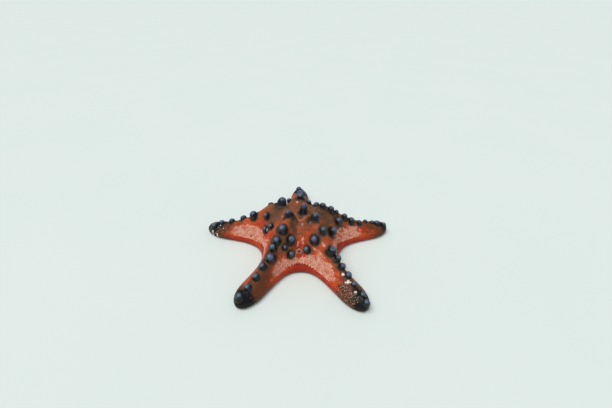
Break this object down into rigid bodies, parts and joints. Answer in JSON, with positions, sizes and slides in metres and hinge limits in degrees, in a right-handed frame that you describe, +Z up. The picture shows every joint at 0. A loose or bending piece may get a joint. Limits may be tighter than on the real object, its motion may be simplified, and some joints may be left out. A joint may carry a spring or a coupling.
{
  "type": "chocolate chip sea star",
  "caption": "Life-size chocolate chip sea star at rest on the floor: orange-red disc and arms with dark blunt horns, grooves with tube feet and a mouth below.",
  "frame": {"origin": "on the floor, in the middle of the outline of the whole animal seen from above", "axes": "+X towards the right arm of the picture, +Y towards the back arm, away from the viewer, +Z up from the floor"},
  "size_m": [0.2301, 0.2106, 0.066],
  "materials": {
    "skin": "granular orange-red skin with brown clouds and pale pink nets, satin and slightly damp",
    "madreporite": "finely furrowed pinkish lime plate",
    "mouth": "soft pale lip with cream jaw spines",
    "horn": "smooth slate-black horn with a bluish sheen",
    "tube_foot": "soft, wet, slightly translucent cream-orange tube feet and suckers"
  },
  "bodies": {
    "root": {"disc": "skin", "arm_back": "skin", "arm_front_left": "skin", "arm_front_right": "skin", "arm_left": "skin", "arm_right": "skin", "madreporite": "madreporite", "mouth": "mouth"}
  },
  "joints": []
}
